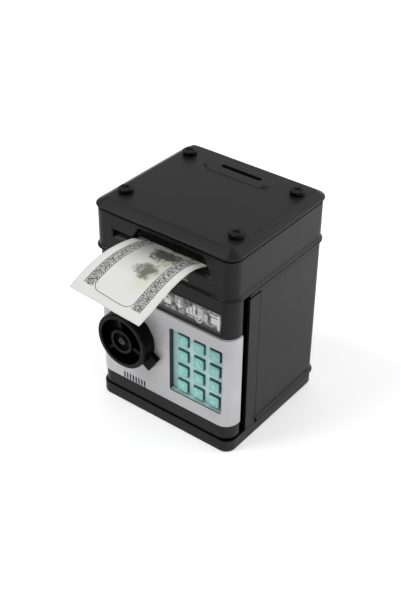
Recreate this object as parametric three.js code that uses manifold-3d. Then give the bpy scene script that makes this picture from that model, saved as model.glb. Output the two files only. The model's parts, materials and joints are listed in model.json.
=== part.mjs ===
// A toy cash machine that works as a coin and note bank: a plastic safe with a keypad door below,
// and a head above it that draws notes in through a powered slot and takes coins through its lid.
// Millimetres, +Z up. The front (the door) faces -Y, and the origin is at the centre of the footprint,
// at the height of the surface that the feet stand on. Heights below are measured from the case's own
// datum plane, DATUM above that surface, and every piece is raised by DATUM as it is added.
import * as THREE from "three";
import { mergeVertices } from "three/addons/utils/BufferGeometryUtils.js";
import Module from "manifold-3d";

const wasm = await Module();
wasm.setup();

// ---- Driving dimensions -------------------------------------------------------------------------
const WIDTH = 137; // across the case, X
const DEPTH = 126; // front to back, Y
const DATUM = 2; // the case's datum above the surface
const HEIGHT = 190; // from the datum up to the lid's flat top
const WALL = 2.4; // shell thickness
const CORNER = 10.5; // radius of the case's vertical corners
const GAP = 0.3; // gap between pieces that touch
const SKIRT_BOTTOM = -1.6; // the base's lower edge
const BASE_CORNER = 9.5;
const BASE_TOP = 9.6; // top of the base's deck
const SHELL_BOTTOM = BASE_TOP + GAP;
const GROOVE = { low: 8.6, high: 10.8, deep: 1.2 }; // dark line round the sides and back
const HEAD_BOTTOM = 146.5;
const HEAD_TOP = 181.3;
const LID_BOTTOM = 183.3;
const ARC_STEPS = 6; // facets in a quarter circle

const HALF_W = WIDTH / 2;
const HALF_D = DEPTH / 2;
const INNER_W = HALF_W - WALL;
const INNER_D = HALF_D - WALL;

// Door: a shallow box that wraps both front corners and turns about the middle of the right one.
const DOOR = { bottom: 11.4, top: 145.8, back: -48.2, wall: 2.4, inset: 0.8, corner: 12 };
const HINGE = { x: HALF_W - DOOR.corner, y: -HALF_D + DOOR.corner, pin: 1.5, bore: 1.8 };
const PANEL = { bottom: 23.9, top: 111, seat: 2.0, thick: 1.7 }; // the silver front
const LABEL = { half: 57.4, bottom: 115, top: 133.6, thick: 0.4, seat: 1.3 };
const PAD = { x: 33.8, z: 68, width: 52, height: 62.4, floor: 5.4, corner: 2.2 }; // keypad window
const KEY = { width: 10.8, height: 10.6, pitchX: 15.8, pitchZ: 15.2, face: 3, x: 34.3, z: 66.2 };
const GRILLE = { x: -30, slots: 8, pitch: 3.1, width: 1.5, bottom: 23, top: 31.4 };
const KNOB = { x: -32.5, z: 73.5, radius: 25, rim: 4.2, hub: 11, rise: 13, shaft: 3 };
const POINTER = { angle: -32.5, reach: 31.5, width: 16, thick: 5 };
const SPOKE_ANGLES = [103, 223, 343];
const CRANK = { radius: 6.5, start: 52.5, pin: 1.2, disc: 8.5 };
const BOLT = { tip: -57, tail: -12, bottom: 77.2, top: 83, front: -45.9, back: -42.3 };

// Side gap beside the hinge corner, and the posts that stand behind it.
const POST = { front: -40.5, back: -27, top: 140.2, leftFront: -47.6, seam: 0.15, over: 1.6 };

// Head: the note slot and the feed train behind it.
const SLOT = { half: 48, low: 161, high: 169, rib: 1.3, ribHigh: 170.6 };
const HOOD = { x: 9, halfLow: 38.5, halfHigh: 31, low: 166.9, high: 179, back: -57 };
const THROAT = { half: 53.5, bottom: 156.5, top: 180.6, back: -55, start: -58.6, low: 165.2, high: 168 };
const NOTE = { x: 5.75, width: 66.3, length: 156, thick: 0.4, level: 166.3 };
const DRIVE = { y: -44, z: 160.05, roller: 6, shaft: 1.5 };
const IDLER = { y: -44, z: 171.05, roller: 4.5, shaft: 1.2 };
const ROLLER = { left: -14, right: 25.5, width: 10 };
const GEAR = { module: 0.8, driveTeeth: 24, smallTeeth: 12, bigTeeth: 28, pinionTeeth: 10 };
const GEAR_INNER = [-42.5, -38.5];
const GEAR_OUTER = [-47.5, -44];
const COUNTER = { y: -29.7, z: 161.7, axle: 1.2 };
const MOTOR = { y: -15.25, z: 157, radius: 7.75, flat: 6, from: -33.9, to: -11 };
const CHASSIS = { left: -36, right: 47.5, front: -54.4, back: -7, bottom: 149.3, top: 176, wall: 1.5 };

// Lid.
const LID = { over: 1.1, edge: 185, flatIn: 7.3, corner: 11, flatCorner: 2.2, plate: 2.4 };
const COIN = { y: 39.3, length: 39, width: 4.4 };
const PLINTH = { x: -1.5, half: 31.5, front: 30, back: 48.6, rise: 1.2, corner: 6 }; // round the coin slot
const SCREW = { x: 53.3, y: 40.3, head: 6, rise: 4, shank: 1.7, tip: 168 };

// Base.
const FOOT = { x: 54, y: 47, radius: 6, high: -0.4 };
const CENTRE_PAD = 5; // radius of the moulded pad that carries the middle of the deck
const CELL = { radius: 7.1, length: 48.5, pitch: 15, y: 31, z: 8.2 };
const BATTERY_BOX = { half: 26.5, front: 8.2, back: 53.8, top: 16.2, wall: 1.6, bottom: 0.4 };

// ---- Colours ------------------------------------------------------------------------------------
const plastic = (color, roughness) => new THREE.MeshStandardMaterial({ color, roughness });
const metal = (color, roughness) => new THREE.MeshStandardMaterial({ color, roughness, metalness: 1 });
const black = plastic(0x2c2c2e, 0.42);
const deepBlack = plastic(0x151516, 0.35);
const silver = plastic(0xb9babd, 0.38);
const teal = plastic(0x86c6c0, 0.4);
const paleTeal = plastic(0x9fc4c4, 0.45);
const labelPrint = plastic(0xa9abad, 0.5);
const paper = plastic(0xe6e8df, 0.8);
const rubber = plastic(0x1c1c1c, 0.9);
const nylon = plastic(0xe4e2d8, 0.5);
const board = plastic(0x1f6b3f, 0.5);
const steel = metal(0xc4c6c9, 0.3);
const zinc = metal(0x9b9da1, 0.4);
const cellWrap = plastic(0x6a7075, 0.4);

// ---- Geometry helpers ---------------------------------------------------------------------------
function solid(geometry) {
  const plain = geometry.index ? geometry.toNonIndexed() : geometry.clone();
  plain.deleteAttribute("normal");
  plain.deleteAttribute("uv");
  const merged = mergeVertices(plain, 1e-4);
  const mesh = new wasm.Mesh({
    numProp: 3,
    vertProperties: merged.attributes.position.array,
    triVerts: new Uint32Array(merged.index.array),
  });
  return new wasm.Manifold(mesh);
}

function geometryOf(manifold) {
  const mesh = manifold.getMesh();
  const geometry = new THREE.BufferGeometry();
  geometry.setAttribute("position", new THREE.BufferAttribute(mesh.vertProperties, 3));
  geometry.setIndex(new THREE.BufferAttribute(mesh.triVerts, 1));
  geometry.computeVertexNormals();
  return geometry;
}

const join = (first, ...rest) => rest.reduce((sum, piece) => sum.add(piece), first);
const cut = (first, ...rest) => rest.reduce((left, piece) => left.subtract(piece), first);

function block([x0, x1], [y0, y1], [z0, z1]) {
  const box = new THREE.BoxGeometry(x1 - x0, y1 - y0, z1 - z0);
  box.translate((x0 + x1) / 2, (y0 + y1) / 2, (z0 + z1) / 2);
  return solid(box);
}

// A round bar along one axis ("x", "y" or "z"), through (a, b), which are the other two coordinates.
function rod(axis, radius, [from, to], a, b, steps = 20) {
  const bar = new THREE.CylinderGeometry(radius, radius, to - from, steps);
  const middle = (from + to) / 2;
  if (axis === "x") bar.rotateZ(-Math.PI / 2).translate(middle, a, b);
  if (axis === "y") bar.translate(a, middle, b);
  if (axis === "z") bar.rotateX(Math.PI / 2).translate(a, b, middle);
  return solid(bar);
}

function roundedRect(halfX, halfY, radius) {
  const shape = new THREE.Shape();
  shape.absarc(halfX - radius, halfY - radius, radius, 0, Math.PI / 2);
  shape.absarc(-halfX + radius, halfY - radius, radius, Math.PI / 2, Math.PI);
  shape.absarc(-halfX + radius, -halfY + radius, radius, Math.PI, 1.5 * Math.PI);
  shape.absarc(halfX - radius, -halfY + radius, radius, 1.5 * Math.PI, 2 * Math.PI);
  return shape;
}

// A shape in the XY plane, drawn up from one height to another.
function column(shape, [z0, z1], steps = ARC_STEPS) {
  const settings = { depth: z1 - z0, bevelEnabled: false, curveSegments: steps };
  return solid(new THREE.ExtrudeGeometry(shape, settings).translate(0, 0, z0));
}

// A shape drawn in X and Z, as seen from the front, taken back from y0 to y1.
function frontColumn(shape, [y0, y1], steps = ARC_STEPS) {
  const settings = { depth: y1 - y0, bevelEnabled: false, curveSegments: steps };
  return solid(new THREE.ExtrudeGeometry(shape, settings).rotateX(Math.PI / 2).translate(0, y1, 0));
}

// A shape drawn in Y and Z, taken across from x0 to x1.
function sideColumn(points, [x0, x1]) {
  const shape = new THREE.Shape(points.map(([y, z]) => new THREE.Vector2(y, z)));
  const extruded = new THREE.ExtrudeGeometry(shape, { depth: x1 - x0, bevelEnabled: false });
  const turn = new THREE.Matrix4().set(0, 0, 1, x0, 1, 0, 0, 0, 0, 1, 0, 0, 0, 0, 0, 1);
  return solid(extruded.applyMatrix4(turn));
}

const polygon = (points) => new THREE.Shape(points.map(([x, y]) => new THREE.Vector2(x, y)));

// A closed skin through a list of rings that have equal numbers of points, anticlockwise seen from the
// last ring's side.
function loft(rings) {
  const count = rings[0].length;
  const points = rings.flat();
  const faces = [];
  for (let r = 0; r + 1 < rings.length; r++) {
    for (let i = 0; i < count; i++) {
      const j = (i + 1) % count;
      const low = r * count;
      const high = low + count;
      faces.push([low + i, low + j, high + j], [low + i, high + j, high + i]);
    }
  }
  const lastRing = (rings.length - 1) * count;
  for (let i = 1; i + 1 < count; i++) {
    faces.push([0, i + 1, i]);
    faces.push([lastRing, lastRing + i, lastRing + i + 1]);
  }
  const positions = faces.flat().flatMap((i) => points[i]);
  const geometry = new THREE.BufferGeometry();
  geometry.setAttribute("position", new THREE.Float32BufferAttribute(positions, 3));
  return solid(geometry);
}

// The ring of a rounded rectangle at one height, with its arcs cut into the same number of steps.
function ring(halfX, halfY, radius, z, x = 0, y = 0) {
  const outline = roundedRect(halfX, halfY, radius).getPoints(ARC_STEPS);
  return outline.map((p) => [p.x + x, p.y + y, z]);
}

// A tube wall between two rounded rectangles.
function shell(halfX, halfY, radius, wall, heights) {
  const outer = column(roundedRect(halfX, halfY, radius), heights);
  const through = [heights[0] - 1, heights[1] + 1];
  const inner = column(roundedRect(halfX - wall, halfY - wall, radius - wall), through);
  return cut(outer, inner);
}

// A bead that runs round the case, hollow inside: its profile is a list of [out, height] pairs, upwards.
function bead(profile) {
  const rings = profile.map(([out, z]) => ring(HALF_W + out, HALF_D + out, CORNER + out, z));
  const heights = [profile[0][1] - 1, profile.at(-1)[1] + 1];
  return cut(loft(rings), column(roundedRect(INNER_W, INNER_D, CORNER - WALL), heights));
}

const group = new THREE.Group();

function add(name, manifold, material) {
  const mesh = new THREE.Mesh(geometryOf(manifold.translate(0, 0, DATUM)), material);
  mesh.name = name;
  group.add(mesh);
}

// A cross-shaped driver recess, cut down along -Z from the top of a screw head.
function crossRecess(x, y, top, arm, deep) {
  const width = arm * 0.28;
  return join(
    block([x - arm, x + arm], [y - width, y + width], [top - deep, top + 1]),
    block([x - width, x + width], [y - arm, y + arm], [top - deep, top + 1]),
  );
}

// ---- Base ---------------------------------------------------------------------------------------
// The groove's hollow: a ring behind the posts that is cut from both the base and the case.
function groove() {
  const out = GROOVE.deep;
  const heights = [GROOVE.low, GROOVE.high];
  const outer = column(roundedRect(HALF_W + 4, HALF_D + 4, CORNER), heights);
  const inner = column(roundedRect(HALF_W - out, HALF_D - out, CORNER - out), [0, 20]);
  return cut(outer, inner, block([-90, 90], [-90, POST.back + POST.seam], [0, 20]));
}

function baseTray() {
  const chamfer = 0.6;
  const outer = loft([
    ring(HALF_W - chamfer, HALF_D - chamfer, BASE_CORNER - chamfer, SKIRT_BOTTOM),
    ring(HALF_W, HALF_D, BASE_CORNER, SKIRT_BOTTOM + 0.8),
    ring(HALF_W, HALF_D, BASE_CORNER, BASE_TOP),
  ]);
  const deckUnder = BASE_TOP - WALL;
  const hollow = column(roundedRect(INNER_W, INNER_D, BASE_CORNER - WALL), [-5, deckUnder]);
  const box = BATTERY_BOX;
  const boxOuter = block(
    [-box.half - box.wall, box.half + box.wall],
    [box.front - box.wall, box.back + box.wall],
    [box.bottom, box.top + box.wall],
  );
  const boxInner = block([-box.half, box.half], [box.front, box.back], [-5, box.top]);
  const footPads = [];
  for (const x of [-FOOT.x, FOOT.x]) {
    for (const y of [-FOOT.y, FOOT.y]) {
      footPads.push(rod("z", FOOT.radius + 1.5, [FOOT.high + GAP, deckUnder + 0.5], x, y));
    }
  }
  const posts = join(
    block([INNER_W, HALF_W], [POST.front, POST.back], [deckUnder, POST.top]),
    block([-HALF_W, -INNER_W], [POST.leftFront, POST.back], [deckUnder, POST.top]),
  );
  const centrePad = rod("z", CENTRE_PAD, [-DATUM, deckUnder + 0.5], 0, 0, 24);
  const hingeBoss = rod("z", 5, [2, deckUnder + 0.5], HINGE.x, HINGE.y);
  const hingeHole = rod("z", HINGE.bore, [4, BASE_TOP + 1], HINGE.x, HINGE.y);
  const strike = cut(
    block([-INNER_W - 0.5, -59.5], [-47.6, -38.8], [BOLT.bottom - 5, BOLT.top + 5]),
    block([-65.6, -59], [BOLT.front - 0.4, BOLT.back + 0.4], [BOLT.bottom - 0.5, BOLT.top + 0.5]),
  );
  const skirt = cut(cut(outer, hollow), groove());
  const ribs = join(posts, strike, hingeBoss, centrePad);
  return cut(join(skirt, boxOuter, ...footPads, ribs), boxInner, hingeHole);
}

function batteryCover() {
  const box = BATTERY_BOX;
  const y = box.front + 1.5;
  const plate = block(
    [-box.half - box.wall, box.half + box.wall],
    [box.front - box.wall, box.back + box.wall],
    [SKIRT_BOTTOM, box.bottom - GAP],
  );
  return cut(plate, rod("z", 3.2, [-5, SKIRT_BOTTOM + 1], 0, y), rod("z", 1.5, [-5, 5], 0, y));
}

function batteryScrew() {
  const y = BATTERY_BOX.front + 1.5;
  const head = rod("z", 2.9, [SKIRT_BOTTOM, SKIRT_BOTTOM + 0.7], 0, y);
  const shank = rod("z", 1.2, [SKIRT_BOTTOM + 0.5, BATTERY_BOX.bottom - 0.1], 0, y);
  return cut(join(head, shank), crossRecess(0, y, SKIRT_BOTTOM + 0.3, 1.6, 1));
}

function batteryCell(index) {
  const y = CELL.y + (index - 1) * CELL.pitch;
  const side = index % 2 ? -1 : 1;
  const half = CELL.length / 2;
  const nub = side > 0 ? [half - 0.5, half + 1.4] : [-half - 1.4, -half + 0.5];
  return join(rod("x", CELL.radius, [-half, half], y, CELL.z, 24), rod("x", 2.7, nub, y, CELL.z, 14));
}

// ---- Case shell ---------------------------------------------------------------------------------
function bodyShell() {
  const top = HEAD_BOTTOM - GAP;
  const walls = shell(HALF_W, HALF_D, CORNER, WALL, [SHELL_BOTTOM, top]);
  const low = GROOVE.high;
  const lowBead = bead([
    [0.6, low],
    [1.7, low + 0.5],
    [2, low + 1.2],
    [1.5, low + 2.2],
    [-0.2, low + 3.4],
  ]);
  const highBead = bead([
    [-0.2, top - 2.8],
    [1.1, top - 1.7],
    [1.7, top - 0.7],
    [1.7, top],
  ]);
  const reach = POST.back + POST.seam;
  const armBottom = POST.top + POST.over;
  const front = join(
    block([-90, 90], [-90, POST.leftFront], [0, 200]),
    block([0, 90], [-90, POST.front], [0, 200]),
    block([-90, 90], [-90, reach], [0, armBottom]),
  );
  return cut(join(walls, lowBead, highBead), front, groove());
}

function headShell() {
  const walls = shell(HALF_W, HALF_D, CORNER, WALL, [HEAD_BOTTOM, HEAD_TOP]);
  const lowBead = bead([
    [1.7, HEAD_BOTTOM],
    [1.7, HEAD_BOTTOM + 0.7],
    [1.1, HEAD_BOTTOM + 1.7],
    [-0.2, HEAD_BOTTOM + 2.8],
  ]);
  const ribs = [-1, 1].map((side) =>
    rod("z", SLOT.rib, [SLOT.low, SLOT.ribHigh], side * (SLOT.half + SLOT.rib), -HALF_D + 0.5, 12),
  );
  const posts = [];
  const holes = [];
  const postHeights = [149.6, 178];
  for (const side of [-1, 1]) {
    for (const y of [-SCREW.y, SCREW.y]) {
      const x = side * SCREW.x;
      const rib = side > 0 ? [x, INNER_W + 0.5] : [-INNER_W - 0.5, x];
      posts.push(rod("z", 4, postHeights, x, y, 16), block(rib, [y - 1, y + 1], postHeights));
      holes.push(rod("z", SCREW.shank + GAP, [SCREW.tip - 1, 180], x, y, 16));
    }
  }
  return cut(join(walls, lowBead, ...ribs, ...posts), slotOpening(), ...holes);
}

function topCover() {
  const halfX = HALF_W + LID.over;
  const halfY = HALF_D + LID.over;
  const flatX = HALF_W - LID.flatIn;
  const flatY = HALF_D - LID.flatIn;
  const outer = loft([
    ring(halfX - 0.5, halfY - 0.5, LID.corner - 0.5, LID_BOTTOM),
    ring(halfX, halfY, LID.corner, LID_BOTTOM + 0.5),
    ring(halfX, halfY, LID.corner, LID.edge - 0.3),
    ring(halfX - 0.7, halfY - 0.7, LID.corner - 0.7, LID.edge + 0.4),
    ring(flatX + 0.8, flatY + 0.8, LID.flatCorner + 0.8, HEIGHT - 0.4),
    ring(flatX, flatY, LID.flatCorner, HEIGHT),
  ]);
  const plateUnder = HEIGHT - LID.plate;
  const hollow = loft([
    ring(INNER_W - 2.4, INNER_D - 2.4, CORNER - 4, LID_BOTTOM - 1),
    ring(INNER_W - 2.4, INNER_D - 2.4, CORNER - 4, LID_BOTTOM + 1.2),
    ring(flatX - 0.6, flatY - 0.6, LID.flatCorner, plateUnder),
  ]);
  const rim = cut(
    shell(INNER_W - GAP, INNER_D - GAP, CORNER - WALL - GAP, 1.8, [179, LID_BOTTOM + 1]),
    block([-56, 56], [-62, -56], [170, THROAT.top + GAP]),
  );
  const { x, half, front, back, rise, corner } = PLINTH;
  const middle = (front + back) / 2;
  const halfPlinth = (back - front) / 2;
  const plinth = loft([
    ring(half, halfPlinth, corner, HEIGHT - 0.5, x, middle),
    ring(half, halfPlinth, corner, HEIGHT + 0.1, x, middle),
    ring(half - 1.2, halfPlinth - 1.2, corner - 1.2, HEIGHT + rise, x, middle),
  ]);
  const slot = column(roundedRect(COIN.length / 2, COIN.width / 2, 1.4), [170, 200], 3);
  const holes = [-SCREW.x, SCREW.x].flatMap((screwX) =>
    [-SCREW.y, SCREW.y].map((y) => rod("z", SCREW.shank + GAP, [180, 200], screwX, y, 16)),
  );
  return cut(join(cut(outer, hollow), rim, plinth), slot.translate(0, COIN.y, 0), ...holes);
}

function coverScrew(x, y) {
  const under = HEIGHT + 0.1;
  const top = HEIGHT + SCREW.rise;
  const profile = [
    [0, SCREW.tip],
    [SCREW.shank, SCREW.tip],
    [SCREW.shank, under],
    [SCREW.head, under],
    [SCREW.head, top - 0.7],
    [SCREW.head - 0.7, top],
    [0, top],
  ];
  const turned = new THREE.LatheGeometry(profile.map(([r, z]) => new THREE.Vector2(r, z)), 28);
  const body = solid(turned.rotateX(Math.PI / 2).translate(x, y, 0));
  return cut(body, crossRecess(x, y, top, 3.2, 0.9));
}

function coinChute() {
  const half = COIN.length / 2;
  const under = HEIGHT - LID.plate - GAP;
  return cut(
    block([-half - 2, half + 2], [COIN.y - 4.4, COIN.y + 4.4], [159, under]),
    block([-half - 0.6, half + 0.6], [COIN.y - 3, COIN.y + 3], [150, 200]),
  );
}

function dividerFloor() {
  const low = HEAD_BOTTOM + 0.5;
  const plate = column(roundedRect(INNER_W - GAP, INNER_D - GAP, CORNER - WALL - GAP), [low, 149]);
  const drop = block([-42, 48], [14, 54], [140, 160]);
  const boss = rod("z", 4.2, [148.5, 153], HINGE.x, HINGE.y);
  const hole = rod("z", HINGE.bore, [140, 152], HINGE.x, HINGE.y);
  return cut(join(plate, boss), drop, hole);
}

// ---- Note slot ----------------------------------------------------------------------------------
// The hollow cut through the head's front wall and the throat behind it: a mouth with a sloping floor, a
// slit at its back, and a hood above it that leaves room for fingers.
function slotOpening() {
  const slope = (THROAT.low - SLOT.low) / (THROAT.start + HALF_D);
  const out = 3;
  const mouth = sideColumn(
    [
      [-HALF_D - out, SLOT.low - out * slope],
      [THROAT.start, THROAT.low],
      [THROAT.start, THROAT.high],
      [-HALF_D - out, SLOT.high + 0.7],
    ],
    [-SLOT.half, SLOT.half],
  );
  const slitHalf = SLOT.half - 2;
  const slitDepth = [THROAT.start - 1, THROAT.back + 1];
  const slit = block([-slitHalf, slitHalf], slitDepth, [THROAT.low, THROAT.high]);
  const hood = frontColumn(
    polygon([
      [HOOD.x - HOOD.halfLow, HOOD.low],
      [HOOD.x + HOOD.halfLow, HOOD.low],
      [HOOD.x + HOOD.halfHigh, HOOD.high],
      [HOOD.x - HOOD.halfHigh, HOOD.high],
    ]),
    [-HALF_D - out, HOOD.back],
  );
  return join(mouth, slit, hood);
}

function slotThroat() {
  const { half, bottom, top, back } = THROAT;
  return cut(block([-half, half], [-INNER_D + GAP, back], [bottom, top]), slotOpening());
}

// ---- Feed train ---------------------------------------------------------------------------------
// A spur gear's outline about its own centre. The teeth are trapezoids with backlash, turned by `phase`.
function gearShape(teeth, phase, bore) {
  const pitchRadius = (teeth * GEAR.module) / 2;
  const tip = pitchRadius + 0.8 * GEAR.module;
  const root = pitchRadius - 1.15 * GEAR.module;
  const step = (2 * Math.PI) / teeth;
  const points = [];
  for (let i = 0; i < teeth; i++) {
    const middle = phase + i * step;
    const corners = [
      [root, -0.3],
      [tip, -0.12],
      [tip, 0.12],
      [root, 0.3],
    ];
    for (const [radius, share] of corners) {
      const angle = middle + share * step;
      points.push([radius * Math.cos(angle), radius * Math.sin(angle)]);
    }
  }
  const shape = polygon(points);
  if (bore) shape.holes.push(new THREE.Path().absarc(0, 0, bore, 0, 2 * Math.PI, true));
  return shape;
}

// The gear above, standing in the YZ plane between two X positions.
function gear(teeth, phase, bore, [x0, x1], y, z) {
  const settings = { depth: x1 - x0, bevelEnabled: false, curveSegments: 10 };
  const turn = new THREE.Matrix4().set(0, 0, 1, x0, 1, 0, 0, y, 0, 1, 0, z, 0, 0, 0, 1);
  return solid(new THREE.ExtrudeGeometry(gearShape(teeth, phase, bore), settings).applyMatrix4(turn));
}

// The phase that puts a gap of the second gear opposite a tooth of the first.
function meshPhase(from, to, fromPhase, fromTeeth, toTeeth) {
  const toward = Math.atan2(to.z - from.z, to.y - from.y);
  const fromStep = (2 * Math.PI) / fromTeeth;
  const toStep = (2 * Math.PI) / toTeeth;
  const offset = (toward - fromPhase) / fromStep;
  return toward + Math.PI + offset * toStep + toStep / 2;
}

const countPhase = meshPhase(DRIVE, COUNTER, 0, GEAR.driveTeeth, GEAR.smallTeeth);
const pinionPhase = meshPhase(COUNTER, MOTOR, countPhase, GEAR.bigTeeth, GEAR.pinionTeeth);

const driveGear = () => gear(GEAR.driveTeeth, 0, DRIVE.shaft + GAP, GEAR_INNER, DRIVE.y, DRIVE.z);

function counterGear() {
  const bore = COUNTER.axle + GAP;
  const between = [GEAR_OUTER[1] - 0.5, GEAR_INNER[0] + 0.5];
  const hub = cut(
    rod("x", 3.2, between, COUNTER.y, COUNTER.z),
    rod("x", bore, [between[0] - 1, between[1] + 1], COUNTER.y, COUNTER.z, 12),
  );
  return join(
    gear(GEAR.smallTeeth, countPhase, bore, GEAR_INNER, COUNTER.y, COUNTER.z),
    gear(GEAR.bigTeeth, countPhase, bore, GEAR_OUTER, COUNTER.y, COUNTER.z),
    hub,
  );
}

function motorPinion() {
  const shaft = rod("x", 1, [GEAR_OUTER[0] - 0.5, MOTOR.from - GAP], MOTOR.y, MOTOR.z, 12);
  return join(gear(GEAR.pinionTeeth, pinionPhase, 0, GEAR_OUTER, MOTOR.y, MOTOR.z), shaft);
}

function feedMotor() {
  const can = rod("x", MOTOR.radius, [MOTOR.from, MOTOR.to], MOTOR.y, MOTOR.z, 28);
  const flats = block([-60, 0], [-60, 20], [MOTOR.z - MOTOR.flat, MOTOR.z + MOTOR.flat]);
  return join(can.intersect(flats), rod("x", 3, [MOTOR.to - 0.5, MOTOR.to + 1.6], MOTOR.y, MOTOR.z, 14));
}

function feedChassis() {
  const { left, right, front, back, bottom, top, wall } = CHASSIS;
  const tray = block([left, right], [front, back], [bottom, bottom + 1.2]);
  const leftPlate = block([left, left + wall], [front, back], [bottom, top]);
  const rightPlate = block([right - wall, right], [front, back - 18], [bottom, top]);
  const axle = rod("x", COUNTER.axle, [GEAR_OUTER[0] - 1, left + 0.5], COUNTER.y, COUNTER.z, 12);
  const through = [left - 1, right + 1];
  return cut(
    join(tray, leftPlate, rightPlate, axle),
    rod("x", DRIVE.shaft + GAP, through, DRIVE.y, DRIVE.z, 16),
    rod("x", IDLER.shaft + GAP, through, IDLER.y, IDLER.z, 16),
    rod("x", 3.4, [left - 1, left + wall + 0.5], MOTOR.y, MOTOR.z, 16),
  );
}

const driveShaft = () => rod("x", DRIVE.shaft, [-43.2, 49.2], DRIVE.y, DRIVE.z, 16);
const idlerShaft = () => rod("x", IDLER.shaft, [-38, 49.2], IDLER.y, IDLER.z, 14);

function roller(x, { y, z, roller: radius, shaft }) {
  const reach = [x - ROLLER.width / 2, x + ROLLER.width / 2];
  const bore = rod("x", shaft + GAP, [reach[0] - 1, reach[1] + 1], y, z, 14);
  return cut(rod("x", radius, reach, y, z, 28), bore);
}

const billSensor = () =>
  join(
    block([2, 9], [THROAT.back + GAP, -51], [168.6, 175]),
    block([3.4, 7.6], [-51.2, -49.4], [169.4, 173.6]),
  );

function mainBoard() {
  const plate = block([58, 59.6], [-30, 30], [151, 176]);
  const chip = block([56.6, 58.2], [-10, 2], [160, 168]);
  const socket = block([54.5, 58.2], [12, 24], [154, 161]);
  return join(plate, chip, socket);
}

// The note: level inside the head, up a little as it leaves the slot, then drooping, lower on its right.
function bankNote() {
  const stations = [
    { y: THROAT.start + 1, left: NOTE.level, right: NOTE.level },
    { y: -60.4, left: 167.3, right: 167.5 },
    { y: -64, left: 168.5, right: 169 },
    { y: -70, left: 169.9, right: 170.6 },
    { y: -78, left: 171.2, right: 171.3 },
    { y: -89, left: 172.2, right: 170.2 },
    { y: -100, left: 171.8, right: 167.6 },
    { y: -111, left: 170, right: 163.8 },
    { y: -122, left: 166.8, right: 159.8 },
    { y: -134.5, left: 161.8, right: 156.2 },
  ];
  let outside = 0;
  for (let i = 1; i < stations.length; i++) {
    const rise = (s) => (s.left + s.right) / 2;
    outside += Math.hypot(stations[i].y - stations[i - 1].y, rise(stations[i]) - rise(stations[i - 1]));
  }
  const innerEnd = stations[0].y + NOTE.length - outside;
  stations.unshift({ y: innerEnd, left: NOTE.level, right: NOTE.level });
  const left = NOTE.x - NOTE.width / 2;
  const right = NOTE.x + NOTE.width / 2;
  const half = NOTE.thick / 2;
  const rings = stations.map((s) => [
    [left, s.y, s.left - half],
    [left, s.y, s.left + half],
    [right, s.y, s.right + half],
    [right, s.y, s.right - half],
  ]);
  return loft(rings.reverse());
}

// ---- Door ---------------------------------------------------------------------------------------
// The door's plan: the case's front, inset all round, rounded at its two front corners and cut square
// at the back.
function doorPlan(inset, back = DOOR.back) {
  const radius = DOOR.corner - inset;
  const halfX = HALF_W - inset;
  const front = -HALF_D + inset;
  const shape = new THREE.Shape();
  shape.moveTo(halfX, back);
  shape.lineTo(-halfX, back);
  shape.lineTo(-halfX, front + radius);
  shape.absarc(-halfX + radius, front + radius, radius, Math.PI, 1.5 * Math.PI);
  shape.absarc(halfX - radius, front + radius, radius, 1.5 * Math.PI, 2 * Math.PI);
  return shape;
}

function window(grow, [y0, y1]) {
  const shape = roundedRect(PAD.width / 2 + grow, PAD.height / 2 + grow, PAD.corner + grow);
  return frontColumn(shape, [y0, y1], 3).translate(PAD.x, 0, PAD.z);
}

function grilleSlots([y0, y1]) {
  const slots = [];
  for (let i = 0; i < GRILLE.slots; i++) {
    const x = GRILLE.x + (i - (GRILLE.slots - 1) / 2) * GRILLE.pitch;
    slots.push(block([x - GRILLE.width / 2, x + GRILLE.width / 2], [y0, y1], [GRILLE.bottom, GRILLE.top]));
  }
  return slots;
}

function doorShell() {
  const outer = column(doorPlan(DOOR.inset), [DOOR.bottom, DOOR.top]);
  const hollow = column(doorPlan(DOOR.inset + DOOR.wall, DOOR.back + 5), [
    DOOR.bottom + DOOR.wall,
    DOOR.top - DOOR.wall,
  ]);
  const seatHeights = [PANEL.bottom - GAP, PANEL.top + GAP];
  const seat = cut(
    column(doorPlan(-2, DOOR.back + 5), seatHeights),
    column(doorPlan(PANEL.seat, DOOR.back + 6), [seatHeights[0] - 1, seatHeights[1] + 1]),
  );
  const labelSeat = block(
    [-LABEL.half - GAP, LABEL.half + GAP],
    [-HALF_D - 1, -HALF_D + LABEL.seat],
    [LABEL.bottom - GAP, LABEL.top + GAP],
  );
  const pinBosses = join(
    rod("z", 4.5, [DOOR.bottom, 24], HINGE.x, HINGE.y),
    rod("z", 4.5, [133, DOOR.top], HINGE.x, HINGE.y),
  );
  return cut(
    join(cut(outer, hollow, seat, labelSeat), pinBosses),
    window(2.6, [-70, -56]),
    rod("y", KNOB.shaft + GAP, [-70, -55], KNOB.x, KNOB.z),
    rod("z", HINGE.bore, [DOOR.bottom - 1, 21], HINGE.x, HINGE.y),
    rod("z", HINGE.bore, [136, DOOR.top + 1], HINGE.x, HINGE.y),
    block([GRILLE.x - 12, GRILLE.x + 12], [-70, -56], [PANEL.bottom, GRILLE.top + 2]),
  );
}

function silverPanel() {
  const round = 0.7;
  const sleeve = cut(
    join(
      column(doorPlan(0), [PANEL.bottom + round, PANEL.top - round]),
      column(doorPlan(round), [PANEL.bottom, PANEL.top]),
    ),
    column(doorPlan(PANEL.thick, DOOR.back + 5), [0, 200]),
  );
  const flange = window(1.2, [-HALF_D + 0.8, -HALF_D + PAD.floor - GAP]);
  return cut(
    join(sleeve, flange),
    window(0, [-70, -50]),
    rod("y", KNOB.shaft + GAP, [-70, -55], KNOB.x, KNOB.z),
    ...grilleSlots([-70, -56]),
  );
}

function labelStrip() {
  const front = -HALF_D + LABEL.seat - GAP - LABEL.thick;
  return block([-LABEL.half, LABEL.half], [front, front + LABEL.thick], [LABEL.bottom, LABEL.top]);
}

const keyCentre = (column, row) => ({
  x: KEY.x + (column - 1) * KEY.pitchX,
  z: KEY.z - (row - 1.5) * KEY.pitchZ,
});

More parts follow.
